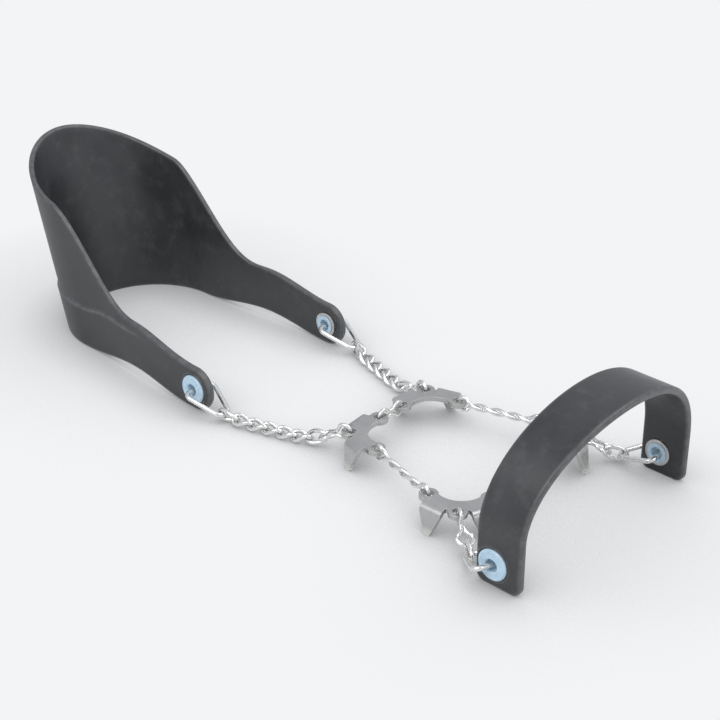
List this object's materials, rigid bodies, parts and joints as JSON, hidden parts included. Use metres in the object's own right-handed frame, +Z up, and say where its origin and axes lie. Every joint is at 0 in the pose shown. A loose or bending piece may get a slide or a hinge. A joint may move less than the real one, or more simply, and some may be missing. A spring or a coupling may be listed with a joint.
{
  "type": "strap-on ice cleat",
  "caption": "Strap-on ice cleat: bent-spike steel plates joined by twisted wire bars and curb chains, hooked to rubber heel and toe straps.",
  "frame": {"origin": "on the floor under the middle of the standing cleat", "axes": "+X to the toe, +Y to the left, +Z up"},
  "size_m": [0.3204, 0.1186, 0.078],
  "materials": {
    "rubber": "satin moulded rubber",
    "plate_steel": "satin stamped stainless steel",
    "wire_steel": "bright stainless wire",
    "washer_steel": "plain stainless sheet",
    "blue_eyelet": "light blue, slightly glossy"
  },
  "bodies": {
    "rear_plates": {"rear_plate_left": "plate_steel", "rear_plate_right": "plate_steel"},
    "rear_link": {"rear_link": "wire_steel"},
    "side_bars": {"side_bar_left": "wire_steel", "side_bar_right": "wire_steel"},
    "front_plates": {"front_plate_left": "plate_steel", "front_plate_right": "plate_steel"},
    "front_bar": {"front_bar": "wire_steel"},
    "toe_connectors": {"toe_connector_left": "wire_steel", "toe_connector_right": "wire_steel"},
    "toe_links": {"toe_link_left": "wire_steel", "toe_link_right": "wire_steel"},
    "toe_hooks": {"toe_hook_left": "wire_steel", "toe_hook_right": "wire_steel"},
    "toe_strap": {"toe_strap": "rubber", "toe_eyelet_left": "blue_eyelet", "toe_eyelet_right": "blue_eyelet", "toe_washer_left": "washer_steel", "toe_washer_right": "washer_steel"},
    "heel_connectors": {"heel_connector_left": "wire_steel", "heel_connector_right": "wire_steel"},
    "heel_links_1": {"heel_link_1_left": "wire_steel", "heel_link_1_right": "wire_steel"},
    "heel_links_2": {"heel_link_2_left": "wire_steel", "heel_link_2_right": "wire_steel"},
    "heel_links_3": {"heel_link_3_left": "wire_steel", "heel_link_3_right": "wire_steel"},
    "heel_links_4": {"heel_link_4_left": "wire_steel", "heel_link_4_right": "wire_steel"},
    "heel_links_5": {"heel_link_5_left": "wire_steel", "heel_link_5_right": "wire_steel"},
    "heel_links_6": {"heel_link_6_left": "wire_steel", "heel_link_6_right": "wire_steel"},
    "heel_links_7": {"heel_link_7_left": "wire_steel", "heel_link_7_right": "wire_steel"},
    "heel_hooks": {"heel_hook_left": "wire_steel", "heel_hook_right": "wire_steel"},
    "heel_strap": {"heel_strap": "rubber", "heel_eyelet_left": "blue_eyelet", "heel_eyelet_right": "blue_eyelet", "heel_washer_left": "washer_steel", "heel_washer_right": "washer_steel"}
  },
  "joints": [
    {"name": "rear_link_roll", "type": "hinge", "parent": "rear_plates", "child": "rear_link", "pos_m": [0.04686, 0, 0.01], "axis": [0, 1, 0], "range_deg": [-15, 15]},
    {"name": "side_bars_tilt", "type": "hinge", "parent": "rear_plates", "child": "side_bars", "pos_m": [0.06431, 0, 0.01], "axis": [0, -1, 0], "range_deg": [-15, 15]},
    {"name": "front_plates_tilt", "type": "hinge", "parent": "side_bars", "child": "front_plates", "pos_m": [0.09505, 0, 0.01], "axis": [0, -1, 0], "range_deg": [-15, 15]},
    {"name": "front_bar_roll", "type": "hinge", "parent": "front_plates", "child": "front_bar", "pos_m": [0.11635, 0, 0.01], "axis": [0, 1, 0], "range_deg": [-15, 15]},
    {"name": "toe_connectors_tilt", "type": "hinge", "parent": "front_plates", "child": "toe_connectors", "pos_m": [0.11573, 0, 0.01], "axis": [0, -1, 0], "range_deg": [-15, 15]},
    {"name": "toe_links_tilt", "type": "hinge", "parent": "toe_connectors", "child": "toe_links", "pos_m": [0.12406, 0, 0.0042], "axis": [0, -1, 0], "range_deg": [-20, 20]},
    {"name": "toe_hooks_tilt", "type": "hinge", "parent": "toe_links", "child": "toe_hooks", "pos_m": [0.12752, 0, 0.00342], "axis": [0, -1, 0], "range_deg": [-20, 20]},
    {"name": "toe_strap_turn", "type": "hinge", "parent": "toe_hooks", "child": "toe_strap", "pos_m": [0.14275, 0, 0.0096], "axis": [0, 1, 0], "range_deg": [-30, 70]},
    {"name": "heel_connectors_tilt", "type": "hinge", "parent": "rear_plates", "child": "heel_connectors", "pos_m": [0.04333, 0, 0.01], "axis": [0, 1, 0], "range_deg": [-15, 15]},
    {"name": "heel_links_1_tilt", "type": "hinge", "parent": "heel_connectors", "child": "heel_links_1", "pos_m": [0.03336, 0, 0.00492], "axis": [0, 1, 0], "range_deg": [-20, 20]},
    {"name": "heel_links_2_tilt", "type": "hinge", "parent": "heel_links_1", "child": "heel_links_2", "pos_m": [0.02828, 0, 0.00298], "axis": [0, 1, 0], "range_deg": [-12, 8]},
    {"name": "heel_links_3_tilt", "type": "hinge", "parent": "heel_links_2", "child": "heel_links_3", "pos_m": [0.02183, 0, 0.00209], "axis": [0, 1, 0], "range_deg": [-12, 8]},
    {"name": "heel_links_4_tilt", "type": "hinge", "parent": "heel_links_3", "child": "heel_links_4", "pos_m": [0.01533, 0, 0.00209], "axis": [0, 1, 0], "range_deg": [-12, 8]},
    {"name": "heel_links_5_tilt", "type": "hinge", "parent": "heel_links_4", "child": "heel_links_5", "pos_m": [0.00883, 0, 0.00209], "axis": [0, 1, 0], "range_deg": [-12, 8]},
    {"name": "heel_links_6_tilt", "type": "hinge", "parent": "heel_links_5", "child": "heel_links_6", "pos_m": [0.00232, 0, 0.00209], "axis": [0, 1, 0], "range_deg": [-12, 8]},
    {"name": "heel_links_7_tilt", "type": "hinge", "parent": "heel_links_6", "child": "heel_links_7", "pos_m": [-0.00415, 0, 0.00268], "axis": [0, 1, 0], "range_deg": [-12, 8]},
    {"name": "heel_hooks_tilt", "type": "hinge", "parent": "heel_links_7", "child": "heel_hooks", "pos_m": [-0.00927, 0, 0.00343], "axis": [0, 1, 0], "range_deg": [-25, 25]},
    {"name": "heel_strap_turn", "type": "hinge", "parent": "heel_hooks", "child": "heel_strap", "pos_m": [-0.02591, 0, 0.0096], "axis": [0, -1, 0], "range_deg": [-90, 40]}
  ]
}
